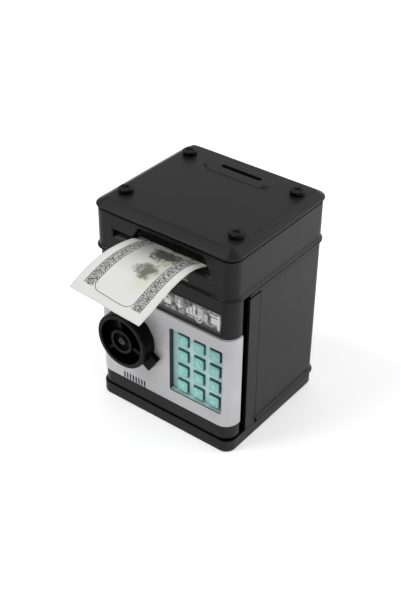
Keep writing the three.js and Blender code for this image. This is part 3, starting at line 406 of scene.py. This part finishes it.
def note_paper():
    """Cotton paper with a generic engraved pattern: a lace band along each long edge, a fine frame
    line and soft grey-green clouds, the same from either end. It holds no lettering and no figures."""
    s = Shader("note_paper", Specular_IOR_Level=0.2)
    uv = s.tree.nodes.new("ShaderNodeTexCoord").outputs["UV"]
    parts = s.axes(uv)
    across = s.product(parts["X"], NOTE_WIDTH)
    along = s.product(parts["Y"], NOTE_LENGTH)
    from_end = s.math("MINIMUM", along, s.math("SUBTRACT", NOTE_LENGTH, along))
    from_edge = s.math("MINIMUM", across, s.math("SUBTRACT", NOTE_WIDTH, across))
    flat = s.node("ShaderNodeCombineXYZ", {"X": across, "Y": along, "Z": 0.0}).outputs[0]

    # Lace: a chain of rings crossed by fine waves, kept to the band and clear of its ends.
    cell = s.math("SUBTRACT", s.math("FRACT", s.math("DIVIDE", along, BAND["pitch"])), 0.5)
    cell = s.product(cell, BAND["pitch"])
    middle = (BAND["out"] + BAND["inner"]) / 2
    out = s.math("SUBTRACT", from_edge, middle)
    radius = s.length(cell, out)
    hoop = s.spread(s.math("ABSOLUTE", s.math("SUBTRACT", radius, LACE["ring"])), 0.85, 0.5)
    heart = s.spread(radius, 1.0, 0.65)
    leaning = s.math("ADD", along, s.product(out, LACE["slant"]))
    slant = s.math("FRACT", s.math("DIVIDE", leaning, LACE["wave"]))
    stroke = s.spread(s.math("ABSOLUTE", s.math("SUBTRACT", slant, 0.5)), 0.3, 0.2)
    edging = s.product(stroke, s.spread(s.math("ABSOLUTE", out), LACE["ring"], LACE["ring"] + 0.3))
    weave = s.math("MAXIMUM", s.math("MAXIMUM", hoop, heart), edging)
    in_band = s.product(
        s.spread(from_edge, BAND["out"] - 0.2, BAND["out"] + 0.2, smooth=True),
        s.spread(from_edge, BAND["inner"] + 0.4, BAND["inner"] - 0.4, smooth=True),
        s.spread(from_end, BAND["end"], BAND["end"] + 1, smooth=True),
    )
    patchy = s.spread(s.noise(0.34, 3, 0.6, flat), 0.35, 0.62, 0.45, 1.0)
    lace_ink = s.product(in_band, s.spread(weave, 0, 1, 0.3, 0.98), patchy)
    outer_line = s.spread(s.math("ABSOLUTE", s.math("SUBTRACT", from_edge, BAND["out"])), 0.55, 0.35)
    outer_line = s.product(outer_line, s.spread(from_end, BAND["end"], BAND["end"] + 1))

    # The frame line: the outline of a rounded rectangle.
    half_x = NOTE_WIDTH / 2 - FRAME_LINE["x"] - FRAME_LINE["radius"]
    half_y = NOTE_LENGTH / 2 - FRAME_LINE["y"] - FRAME_LINE["radius"]
    side_x = s.math("SUBTRACT", s.math("SUBTRACT", NOTE_WIDTH / 2, from_edge), half_x)
    side_y = s.math("SUBTRACT", s.math("SUBTRACT", NOTE_LENGTH / 2, from_end), half_y)
    far_x = s.math("MAXIMUM", side_x, 0.0)
    far_y = s.math("MAXIMUM", side_y, 0.0)
    corner = s.length(far_x, far_y)
    off_line = s.math("ABSOLUTE", s.math("SUBTRACT", corner, FRAME_LINE["radius"]))
    line = s.spread(off_line, FRAME_LINE["width"] + 0.1, FRAME_LINE["width"] - 0.1)
    inside = s.spread(corner, FRAME_LINE["radius"] + 0.2, FRAME_LINE["radius"] - 0.4)

    # Clouds of fine engraving inside the frame.
    wander = s.math("SUBTRACT", s.noise(0.16, 4, 0.62, flat), 0.5)
    clouds = 0.0
    for centre_x, centre_y, wide, long, strength in VIGNETTES:
        dx = s.math("DIVIDE", s.math("SUBTRACT", across, centre_x), wide)
        dy = s.math("DIVIDE", s.math("SUBTRACT", from_end, centre_y), long)
        distance = s.math("ADD", s.product(dx, dx), s.product(dy, dy))
        distance = s.math("ADD", distance, s.product(wander, 3.2))
        blob = s.product(s.spread(distance, 1.5, 0.1, smooth=True), strength)
        clouds = s.math("MAXIMUM", blob, clouds)
    hatch = s.math("SINE", s.product(s.math("ADD", across, s.product(along, 0.6)), 9.0))
    clouds = s.product(clouds, s.spread(hatch, -1, 1, 0.7, 1.0))
    fade = s.spread(from_end, DUSK["from"], DUSK["to"], 0.0, DUSK["most"])
    speckle = s.spread(s.noise(0.9, 3, 0.6, flat), 0.3, 0.7, 0.6, 1.0)
    tone = s.product(s.math("MAXIMUM", clouds, s.product(fade, speckle)), inside)
    warm = s.spread(s.math("ABSOLUTE", s.math("SUBTRACT", across, 43)), 13, 2, 0.0, 0.5, smooth=True)
    warm = s.product(warm, inside, s.spread(from_end, 16, 30))

    fibre = s.spread(s.noise(1.7, 4, 0.7, flat), 0.3, 0.7)
    colour = s.blend(s.product(fibre, 0.16), PAPER, PAPER_FIBRE)
    colour = s.blend(warm, colour, WARM_TINT)
    colour = s.blend(s.math("MULTIPLY", tone, 0.9, clamp=True), colour, PRINT_MID)
    dark = s.math("MULTIPLY", s.math("SUBTRACT", tone, 0.78), 1.7, clamp=True)
    colour = s.blend(dark, colour, PRINT_DARK)
    drawn = s.math("MAXIMUM", lace_ink, line)
    ink = s.math("MAXIMUM", drawn, s.product(outer_line, 0.7), clamp=True)
    colour = s.blend(ink, colour, PRINT_DARK)
    s.to("Base Color", colour)
    s.to("Roughness", s.spread(fibre, 0, 1, 0.62, 0.8))
    weave_bump = s.bump(fibre, 0.03 * MM, 0.5)
    s.to("Normal", s.bump(ink, 0.02 * MM, 0.5, weave_bump))
    return s.material


SATIN_BLACK = {"tones": (0.0095, 0.0165), "roughness": (0.36, 0.48), "specular": 0.17}
MATERIALS = {
    # Its front faces are painted darker, as shade.
    "black_plastic": moulded("black_plastic", **SATIN_BLACK, front=0.45),
    "deep_black_plastic": moulded(
        "deep_black_plastic", (0.005, 0.009), (0.3, 0.42), 3200, 0.03 * MM, specular=0.14
    ),
    "black_steel": metal("black_steel", (0.05, 0.05, 0.052), (0.09, 0.09, 0.093), 0.4, (1, 6, 6)),
    "silver_plastic": painted_silver(),
    "teal_keys": key_plastic(),
    "pale_teal_plastic": bezel_plastic(),
    "printed_label": label_film(),
    "note_paper": note_paper(),
    "rubber": rubber(),
    "nylon": nylon(),
    "circuit_board": circuit_board(),
    "steel": metal("steel", (0.46, 0.47, 0.48), (0.64, 0.65, 0.66), 0.26, (1, 6, 6)),
    "plated_metal": metal("plated_metal", (0.36, 0.37, 0.38), (0.52, 0.53, 0.55), 0.36, (1, 1, 1), 500),
    "cell_wrap": cell_wrap(),
}
THROAT_BLACK = moulded("throat_black", (0.0045, 0.0075), (0.45, 0.6), specular=0.08)
SCREW_BLACK = screw_plastic()
DIAL_BLACK = dial_plastic()
INK_PALE = print_ink("ink_pale", (0.78, 0.78, 0.77), (0.46, 0.46, 0.46))
INK_GREY = print_ink("ink_grey", (0.26, 0.26, 0.265), (0.13, 0.13, 0.135))
INK_KEY = print_ink("ink_key", (0.52, 0.76, 0.72), (0.36, 0.62, 0.58))


# ==== Carried-over CAD pieces =====================================================================
def soften(node, width, segments):
    """Rounds the node's sharp edges and shades its curved faces smoothly. Its own mesh isn't touched."""
    node.data.polygons.foreach_set("use_smooth", [True] * len(node.data.polygons))
    weld = node.modifiers.new("weld", "WELD")
    weld.merge_threshold = WELD_GAP
    if node.name not in KEEP_FACETS:
        flatten = node.modifiers.new("flatten", "DECIMATE")
        flatten.decimate_type = "DISSOLVE"
        flatten.angle_limit = FLAT_ANGLE
        if node.name not in KEEP_WHOLE:
            cut_up = node.modifiers.new("cut_up", "TRIANGULATE")
            cut_up.ngon_method = "CLIP"
    rounding = node.modifiers.new("rounding", "BEVEL")
    rounding.width = width * MM
    rounding.segments = segments
    rounding.limit_method = "ANGLE"
    rounding.angle_limit = EDGE_ANGLE
    rounding.use_clamp_overlap = False
    rounding.harden_normals = True
    rounding.miter_outer = "MITER_ARC"
    shading = node.modifiers.new("shading", "WEIGHTED_NORMAL")
    shading.mode = "FACE_AREA_WITH_ANGLE"
    shading.weight = SHADE_BY_AREA


def edge_of(name):
    for start, setting in EDGE.items():
        if name.startswith(start):
            return setting
    return EDGE_DEFAULT


WIDE = 1.0  # m, past any part of the object
# The painted shade in the case's joints: how far it reaches below and above each.
DECK_SHADE = (0.9 * MM, 1.2 * MM)
DECK_SIDE_SHADE = (2.4 * MM, 1.2 * MM)
DECK_SIDE_FROM = -27.5 * MM  # the walls' own part of the deck joint starts here, going back
HEAD_SHADE = (0.75 * MM, 0.4 * MM)
POST_SHADE = (0.3 * MM, 1.4 * MM)
MOUTH_DEPTH = 2.6 * MM  # the note slot's walls are painted dark as shade from this far behind the head's front
front_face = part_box("head_shell")[0].y
deck_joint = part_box("body_shell")[0].z
head_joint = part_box("head_shell")[0].z
post_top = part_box("base_tray")[1].z
mouth_low, mouth_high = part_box("slot_throat")


def seam(height, reach, front=front_face):
    """The box of a joint that runs round the case at a height, open to the sides and the back."""
    below, above = reach
    return (-WIDE, front, height - below), (WIDE, WIDE, height + above)


# The case's front faces are painted darker as shade, and its joints and the note slot's mouth carry
# painted shade.
CASE_BLACK = moulded(
    "case_black",
    **SATIN_BLACK,
    front=0.5,
    joints=(
        seam(deck_joint, DECK_SHADE),
        seam(deck_joint, DECK_SIDE_SHADE, DECK_SIDE_FROM),
        seam(head_joint, HEAD_SHADE),
        seam(post_top, POST_SHADE),
        ((mouth_low.x, front_face + MOUTH_DEPTH, mouth_low.z), mouth_high),
    ),
)
# Nodes whose look differs from that of their slot.
OWN_LOOK = {"slot_throat": THROAT_BLACK, "dial_knob": DIAL_BLACK}
OWN_LOOK.update({f"cover_screw_{i}": SCREW_BLACK for i in range(1, 5)})
OWN_LOOK.update({name: CASE_BLACK for name in ("base_tray", "body_shell", "head_shell")})
slot_of = {part["node"]: part["material_slot"] for part in frame["record"]["subparts"]}
for name, node in frame["nodes"].items():
    node.data.materials.clear()
    node.data.materials.append(OWN_LOOK.get(name) or MATERIALS[slot_of[name]])
    soften(node, *edge_of(name))


# ==== New pieces ==================================================================================
def piece(name, bm, material, body, smooth=True):
    """Turns a bmesh into a piece that rides on a body and takes its finish from a material slot."""
    mesh = bpy.data.meshes.new(name)
    bmesh.ops.recalc_face_normals(bm, faces=bm.faces)
    bm.to_mesh(mesh)
    bm.free()
    mesh.polygons.foreach_set("use_smooth", [smooth] * len(mesh.polygons))
    made = bpy.data.objects.new(name, mesh)
    made.data.materials.append(material)
    bpy.context.scene.collection.objects.link(made)
    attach(made, body)
    return made


def rounded_outline(half_x, half_z, radius, steps):
    """Points round a rounded rectangle, anticlockwise."""
    points = []
    for quarter, (sx, sz) in enumerate(((1, 1), (-1, 1), (-1, -1), (1, -1))):
        for step in range(steps + 1):
            angle = (quarter + step / steps) * math.pi / 2
            x = sx * (half_x - radius) + radius * math.cos(angle)
            z = sz * (half_z - radius) + radius * math.sin(angle)
            points.append((x, z))
    return points


def skin(bm, rings):
    """Joins rings of equal length by quads and closes both ends with a fan."""
    loops = [[bm.verts.new(point) for point in ring] for ring in rings]
    count = len(loops[0])
    for low, high in zip(loops, loops[1:]):
        for i in range(count):
            j = (i + 1) % count
            bm.faces.new((low[i], low[j], high[j], high[i]))
    for loop in (loops[0], loops[-1]):
        middle = bm.verts.new(sum((v.co for v in loop), Vector()) / count)
        for i in range(count):
            bm.faces.new((loop[i], loop[(i + 1) % count], middle))


# ---- Door lip: the upright rib behind the door's free edge that closes the view through its gap ----
DOOR_LIP = {"half": 0.65 * MM, "inset": 1.0 * MM, "ends": 1.6 * MM, "root": 0.3 * MM, "reach": 1.7 * MM}
LIP_NOTCH = {"reach": 0.35 * MM, "spare": 6.6 * MM}  # lower where the bolt's keeper stands
LIP_EDGE = 0.12 * MM


def door_lip():
    low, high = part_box("door_back_cover")
    bolt_low, bolt_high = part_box("latch_bolt")
    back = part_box("silver_panel")[1].y
    centre = low.x + DOOR_LIP["inset"]
    root, crest, notch = back - DOOR_LIP["root"], back + DOOR_LIP["reach"], back + LIP_NOTCH["reach"]
    bottom, top = low.z + DOOR_LIP["ends"], high.z - DOOR_LIP["ends"]
    notch_low, notch_high = bolt_low.z - LIP_NOTCH["spare"], bolt_high.z + LIP_NOTCH["spare"]
    profile = [(root, bottom), (crest, bottom), (crest, notch_low), (notch, notch_low)]
    profile += [(notch, notch_high), (crest, notch_high), (crest, top), (root, top)]
    bm = bmesh.new()
    sides = [
        [bm.verts.new((centre + side * DOOR_LIP["half"], y, z)) for y, z in profile] for side in (-1, 1)
    ]
    bm.faces.new(sides[0])
    bm.faces.new(sides[1][::-1])
    for i in range(len(profile)):
        j = (i + 1) % len(profile)
        bm.faces.new((sides[0][i], sides[0][j], sides[1][j], sides[1][i]))
    bmesh.ops.bevel(bm, geom=bm.edges[:], offset=LIP_EDGE, segments=2, profile=0.5, affect="EDGES")
    piece("door_lip", bm, MATERIALS["black_plastic"], "door", smooth=False)


door_lip()


# ---- Keys: a crowned cap with rounded shoulders on its flange, and a printed numeral --------------
KEY_FLANGE = {"lip": 0.9 * MM, "thick": 1.0 * MM, "corner": 0.5 * MM}
KEY_FILLET = 0.2 * MM
KEY_SHOULDER = 1.1 * MM
SHOULDER_STEPS = 5
KEY_CROWN = 0.35 * MM
CROWN_RINGS = (0.8, 0.55, 0.25)  # shares of the flat top at which the crown's rings lie
KEY_CORNER = 1.7 * MM
CORNER_STEPS = 6
KEY_GLYPHS = dict(zip("1 2 3 4 5 6 7 8 9 star 0 hash".split(), "123456789*0#"))
GLYPH_SIZE = 6.4 * MM
GLYPH_RELIEF = 0.13 * MM
STAR_DROP = 1.3 * MM  # a star is set high in its line, so it is moved down to the key's middle


def key_cap(name):
    low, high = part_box(name)
    centre = (low + high) / 2
    flange_x, flange_z = (high.x - low.x) / 2, (high.z - low.z) / 2
    half_x, half_z = flange_x - KEY_FLANGE["lip"], flange_z - KEY_FLANGE["lip"]
    flange_front = high.y - KEY_FLANGE["thick"]
    shoulder = low.y + KEY_SHOULDER + KEY_CROWN
    rings = []

    def ring(grow_x, grow_z, radius, y):
        outline = rounded_outline(grow_x, grow_z, radius, CORNER_STEPS)
        rings.append([(centre.x + x, y, centre.z + z) for x, z in outline])

    ring(flange_x, flange_z, KEY_FLANGE["corner"], high.y)
    ring(flange_x, flange_z, KEY_FLANGE["corner"], flange_front)
    ring(half_x + KEY_FILLET, half_z + KEY_FILLET, KEY_CORNER, flange_front)
    ring(half_x, half_z, KEY_CORNER, flange_front - KEY_FILLET)
    ring(half_x, half_z, KEY_CORNER, shoulder)
    for step in range(1, SHOULDER_STEPS + 1):
        turn = step / SHOULDER_STEPS * math.pi / 2
        inset = KEY_SHOULDER * (1 - math.cos(turn))
        rise = KEY_SHOULDER * math.sin(turn)
        ring(half_x - inset, half_z - inset, KEY_CORNER - inset * 0.9, shoulder - rise)
    for share in CROWN_RINGS:
        flat_x, flat_z = (half_x - KEY_SHOULDER) * share, (half_z - KEY_SHOULDER) * share
        ring(flat_x, flat_z, KEY_CORNER * 0.42 * share, low.y + KEY_CROWN * share**2)
    bm = bmesh.new()
    skin(bm, rings)
    cap = piece("cap_" + name, bm, MATERIALS["teal_keys"], name)
    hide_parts(name)


def lettering(name, text, centre, material, body):
    """A printed character that stands a hair proud of a surface that faces the front."""
    curve = bpy.data.curves.new(name, "FONT")
    curve.body = text
    curve.size = GLYPH_SIZE
    curve.extrude = GLYPH_RELIEF
    curve.resolution_u = 6
    curve.align_x = "CENTER"
    curve.align_y = "CENTER"
    made = bpy.data.objects.new(name, curve)
    made.matrix_world = Matrix.Translation(centre) @ Matrix.Rotation(math.pi / 2, 4, "X")
    bpy.context.scene.collection.objects.link(made)
    bpy.context.view_layer.update()
    mesh = bpy.data.meshes.new_from_object(made.evaluated_get(bpy.context.evaluated_depsgraph_get()))
    mesh.transform(made.matrix_world)
    bpy.data.objects.remove(made)
    mesh.materials.clear()
    mesh.materials.append(material)
    mark = bpy.data.objects.new(name, mesh)
    bpy.context.scene.collection.objects.link(mark)
    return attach(mark, body)


for suffix, glyph in KEY_GLYPHS.items():
    key_name = "key_" + suffix
    key_cap(key_name)
    low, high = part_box(key_name)
    spot = Vector(((low.x + high.x) / 2, low.y + GLYPH_RELIEF * 0.55, (low.z + high.z) / 2))
    if glyph == "*":
        spot.z -= STAR_DROP
    lettering("numeral_" + suffix, glyph, spot, INK_KEY, key_name)


# ---- The note: a thin sheet that keeps the CAD note's bend -----------------------------------------
SHEET_THICK = 0.14 * MM
SHEET_ACROSS = 28
SHEET_ALONG = 120
RIPPLE = {"height": 0.22 * MM, "grows_over": 20 * MM, "turn": 60}  # the free end's slight waves


def note_stations():
    """(y, left z, right z) of the CAD note's middle surface, from its outer end inwards."""
    low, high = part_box("bank_note")
    middle = (low.x + high.x) / 2
    heights = {}
    for vertex in frame["nodes"]["bank_note"].data.vertices:
        side = vertex.co.x > middle
        heights.setdefault(round(vertex.co.y, 5), {}).setdefault(side, set()).add(round(vertex.co.z, 6))
    stations = []
    for y in sorted(heights):
        left, right = (sum(heights[y][side]) / len(heights[y][side]) for side in (False, True))
        stations.append((y, left, right))
    return stations


def smooth_between(points, at):
    """A Catmull-Rom curve through points of (position, value...), read at one position."""
    index = max(i for i in range(len(points) - 1) if points[i][0] <= at + 1e-9)
    a, b = points[index], points[index + 1]
    before = points[max(index - 1, 0)]
    after = points[min(index + 2, len(points) - 1)]
    span = b[0] - a[0]
    t = (at - a[0]) / span
    values = []
    for k in range(1, len(a)):
        slope_a = (b[k] - before[k]) / max(b[0] - before[0], 1e-6) * span
        slope_b = (after[k] - a[k]) / max(after[0] - a[0], 1e-6) * span
        h1, h2 = 2 * t**3 - 3 * t**2 + 1, t**3 - 2 * t**2 + t
        h3, h4 = 3 * t**2 - 2 * t**3, t**3 - t**2
        values.append(h1 * a[k] + h2 * slope_a + h3 * b[k] + h4 * slope_b)
    return values


def bank_note():
    low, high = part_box("bank_note")
    stations = note_stations()
    outer, inner = stations[0][0], stations[-1][0]
    slot_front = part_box("slot_throat")[0].y
    samples = [outer + (inner - outer) * i / SHEET_ALONG for i in range(SHEET_ALONG + 1)]
    run = [0.0]
    middle = [sum(smooth_between(stations, y)) / 2 for y in samples]
    for i in range(1, len(samples)):
        run.append(run[-1] + math.hypot(samples[i] - samples[i - 1], middle[i] - middle[i - 1]))
    bm = bmesh.new()
    uv = bm.loops.layers.uv.new("print")
    place = {}
    grid = []
    for i, y in enumerate(samples):
        left, right = smooth_between(stations, y)
        free = min(1.0, max(0.0, (slot_front - y) / RIPPLE["grows_over"]))
        row = []
        for j in range(SHEET_ACROSS + 1):
            u = j / SHEET_ACROSS
            wave = math.sin(3 * math.pi * u + RIPPLE["turn"] * y) * math.sin(math.pi * u)
            wave *= RIPPLE["height"] * free
            x = low.x + (high.x - low.x) * u
            vertex = bm.verts.new((x, y, left + (right - left) * u + wave))
            place[vertex] = (u, run[i] / run[-1])
            row.append(vertex)
        grid.append(row)
    for first, second in zip(grid, grid[1:]):
        for j in range(SHEET_ACROSS):
            bm.faces.new((first[j], first[j + 1], second[j + 1], second[j]))
    for face in bm.faces:
        for loop in face.loops:
            loop[uv].uv = place[loop.vert]
    sheet = piece("note_sheet", bm, MATERIALS["note_paper"], "note")
    thicken = sheet.modifiers.new("thickness", "SOLIDIFY")
    thicken.thickness = SHEET_THICK
    thicken.offset = 0
    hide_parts("bank_note")


bank_note()


# ---- Label: generic picture marks printed on the film ---------------------------------------------
MARK_RELIEF = 0.06 * MM
label_low, label_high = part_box("label_strip")
LABEL_FACE = label_low.y
MARK_COUNT = 10
MARK_PITCH = 11.3 * MM
MARK_ROW = 0.58  # share of the film's height at which the marks' centres stand
RING_MARK = {"pitches": 1.87, "row": 0.27}
END_MARK = {"inset": 2.2 * MM, "row": 0.5, "width": 2.2, "height": 13.5, "radius": 0.8}


class Marks:
    """Flat shapes printed on a face that looks to the front, gathered into one mesh. Places are
    millimetres about a centre."""

    def __init__(self, centre_x, centre_z, face=LABEL_FACE):
        self.bm = bmesh.new()
        self.x = centre_x
        self.z = centre_z
        self.face = face

    def plate(self, points):
        front, back = self.face - MARK_RELIEF, self.face + MARK_RELIEF
        rings = [[(self.x + x * MM, y, self.z + z * MM) for x, z in points] for y in (back, front)]
        skin(self.bm, rings)

    def bar(self, x, z, width, height, radius=0.3):
        outline = rounded_outline(width / 2, height / 2, min(radius, width / 2.01, height / 2.01), 4)
        self.plate([(x + px, z + pz) for px, pz in outline])

    def disc(self, x, z, radius, sides=24):
        angles = [2 * math.pi * i / sides for i in range(sides)]
        self.plate([(x + radius * math.cos(a), z + radius * math.sin(a)) for a in angles])

    def hoop(self, x, z, radius, width, sides=32):
        front, back = self.face - MARK_RELIEF, self.face + MARK_RELIEF
        loops = []
        for y, r in ((back, radius), (front, radius), (front, radius - width), (back, radius - width)):
            angles = [2 * math.pi * i / sides for i in range(sides)]
            ring = [(x + r * math.cos(a), z + r * math.sin(a)) for a in angles]
            loops.append([self.bm.verts.new((self.x + px * MM, y, self.z + pz * MM)) for px, pz in ring])
        for low, high in zip(loops, loops[1:] + loops[:1]):
            for i in range(sides):
                j = (i + 1) % sides
                self.bm.faces.new((low[i], low[j], high[j], high[i]))

    def finish(self, name, ink, body="door"):
        piece(name, self.bm, ink, body, smooth=False)


def slip_mark(m):
    m.bar(0, 3.2, 9.0, 1.6)
    m.bar(0, -1.4, 6.6, 5.6)


def coins_mark(m):
    for i in range(5):
        m.bar(-2.0, -4.0 + i * 1.9, 5.4, 1.3, 0.5)
    for i in range(3):
        m.bar(3.2, -4.0 + i * 1.9, 3.8, 1.3, 0.5)


def columns_mark(m):
    for i, height in enumerate((4.8, 7.4, 9.8)):
        m.bar(-3.2 + i * 3.2, -4.8 + height / 2, 2.4, height)


def keypad_mark(m):
    for i in range(3):
        for j in range(3):
            m.bar(-3.2 + i * 3.2, -3.2 + j * 3.2, 2.3, 2.3)


def arrow_mark(m):
    m.bar(0, 1.8, 2.0, 5.0)
    m.plate([(-3.4, -0.4), (0, -4.2), (3.4, -0.4)])


def padlock_mark(m):
    m.bar(0, -1.6, 6.2, 4.8, 0.7)
    m.hoop(0, 1.3, 2.6, 0.9)


def dial_mark(m):
    m.hoop(0, 0, 3.5, 1.0)
    m.disc(0, 0, 1.1)


def chest_mark(m):
    m.bar(0, -1.2, 8.8, 6.6, 0.8)
    m.bar(0, 3.6, 8.8, 1.5, 0.6)


MARKS = (
    slip_mark,
    coins_mark,
    columns_mark,
    arrow_mark,
    padlock_mark,
    chest_mark,
    keypad_mark,
    slip_mark,
)


def film_height(share):
    return label_low.z + (label_high.z - label_low.z) * share


for index in range(MARK_COUNT):
    marks = Marks(label_high.x - (index + 0.55) * MARK_PITCH, film_height(MARK_ROW))
    MARKS[index % len(MARKS)](marks)
    marks.finish(f"label_mark_{index + 1}", INK_PALE)
ring_mark = Marks(label_high.x - RING_MARK["pitches"] * MARK_PITCH, film_height(RING_MARK["row"]))
dial_mark(ring_mark)
ring_mark.finish("label_mark_ring", INK_PALE)
end_mark = Marks(label_high.x - END_MARK["inset"], film_height(END_MARK["row"]))
end_mark.bar(0, 0, END_MARK["width"], END_MARK["height"], END_MARK["radius"])
end_mark.finish("label_mark_end", INK_PALE)

# A small printed mark under the note slot, on the head.
HEAD_MARK = {"x": 23.5 * MM, "rise": 7.5 * MM, "bead": 2.0 * MM, "rows": (6.4, 4.6, 6.0), "pitch": 2.6}
# The head's flat front: the case is as deep to the front as to the back, less the bead round it.
head_face = -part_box("body_shell")[1].y + HEAD_MARK["bead"]
head_mark = Marks(HEAD_MARK["x"], head_joint + HEAD_MARK["rise"], head_face)
for row, width in enumerate(HEAD_MARK["rows"]):
    aside = (width - HEAD_MARK["rows"][0]) / 2
    head_mark.bar(aside, HEAD_MARK["pitch"] * (1 - row), width, HEAD_MARK["pitch"] / 2)
head_mark.finish("head_mark", INK_GREY, "case")


# ==== Studio ======================================================================================
def studio():
    scene = bpy.context.scene
    scene.view_settings.view_transform = "Standard"

    floor_mesh = bpy.data.meshes.new("floor")
    corners = [(x * FLOOR_HALF, y * FLOOR_HALF, 0) for x, y in ((-1, -1), (1, -1), (1, 1), (-1, 1))]
    floor_mesh.from_pydata(corners, [], [(0, 1, 2, 3)])
    floor = bpy.data.objects.new("floor", floor_mesh)
    scene.collection.objects.link(floor)
    pale = Shader("floor_pale", Roughness=0.9, Specular_IOR_Level=0.1)
    pale.bsdf.inputs["Base Color"].default_value = FLOOR_TONE
    pale.bsdf.inputs["Emission Color"].default_value = WHITE
    pale.bsdf.inputs["Emission Strength"].default_value = FLOOR_GLOW
    floor_mesh.materials.append(pale.material)

    dome = bpy.data.worlds.new("studio")
    scene.world = dome
    dome.use_nodes = True
    tree = dome.node_tree
    parts = tree.nodes.new("ShaderNodeSeparateXYZ")
    tree.links.new(tree.nodes.new("ShaderNodeTexCoord").outputs["Generated"], parts.inputs[0])
    strength = DOME["front"]
    for axis, share in (("X", DOME["right"]), ("Y", DOME["back"])):
        ramp = tree.nodes.new("ShaderNodeMapRange")
        ramp.interpolation_type = "SMOOTHSTEP"
        tree.links.new(parts.outputs[axis], ramp.inputs["Value"])
        ramp.inputs["To Max"].default_value = share
        total = tree.nodes.new("ShaderNodeMath")
        tree.links.new(ramp.outputs["Result"], total.inputs[0])
        if isinstance(strength, float):
            total.inputs[1].default_value = strength
        else:
            tree.links.new(strength, total.inputs[1])
        strength = total.outputs[0]
    tree.links.new(strength, tree.nodes["Background"].inputs["Strength"])
    tree.nodes["Background"].inputs["Color"].default_value = WHITE

    def aim(light, back):
        light.rotation_mode = "QUATERNION"
        light.rotation_quaternion = back.to_track_quat("Z", "Y")

    sun_data = bpy.data.lights.new("sun", "SUN")
    sun_data.energy = SUN["energy"]
    sun_data.angle = math.radians(SUN["spread"])
    sun = bpy.data.objects.new("sun", sun_data)
    azimuth, elevation = math.radians(SUN["azimuth"]), math.radians(SUN["elevation"])
    toward = Vector((math.sin(azimuth), -math.cos(azimuth), 0)) * math.cos(elevation)
    aim(sun, toward + Vector((0, 0, math.sin(elevation))))
    scene.collection.objects.link(sun)

    panel_data = bpy.data.lights.new("back_panel", "AREA")
    panel_data.energy = BACK_PANEL["energy"]
    panel_data.size = BACK_PANEL["size"]
    panel = bpy.data.objects.new("back_panel", panel_data)
    panel.location = BACK_PANEL["place"]
    aim(panel, BACK_PANEL["place"] - CAMERA_TARGET)
    scene.collection.objects.link(panel)


def camera():
    azimuth, elevation, roll = map(math.radians, (CAMERA_AZIMUTH, CAMERA_ELEVATION, CAMERA_ROLL))
    level = Vector((math.sin(azimuth), -math.cos(azimuth), 0))
    back = level * math.cos(elevation) + Vector((0, 0, math.sin(elevation)))
    right = Vector((math.cos(azimuth), math.sin(azimuth), 0))
    up = back.cross(right)
    turned_right = right * math.cos(roll) + up * math.sin(roll)
    turned_up = up * math.cos(roll) - right * math.sin(roll)
    data = bpy.data.cameras.new("camera")
    data.sensor_width = 36
    data.lens = CAMERA_LENS
    data.shift_x, data.shift_y = CAMERA_SHIFT
    data.clip_start = 0.01
    made = bpy.data.objects.new("camera", data)
    made.matrix_world = Matrix.Translation(CAMERA_TARGET + back * CAMERA_DISTANCE) @ Matrix(
        (turned_right, turned_up, back)
    ).transposed().to_4x4()
    bpy.context.scene.collection.objects.link(made)
    bpy.context.scene.camera = made


studio()
camera()
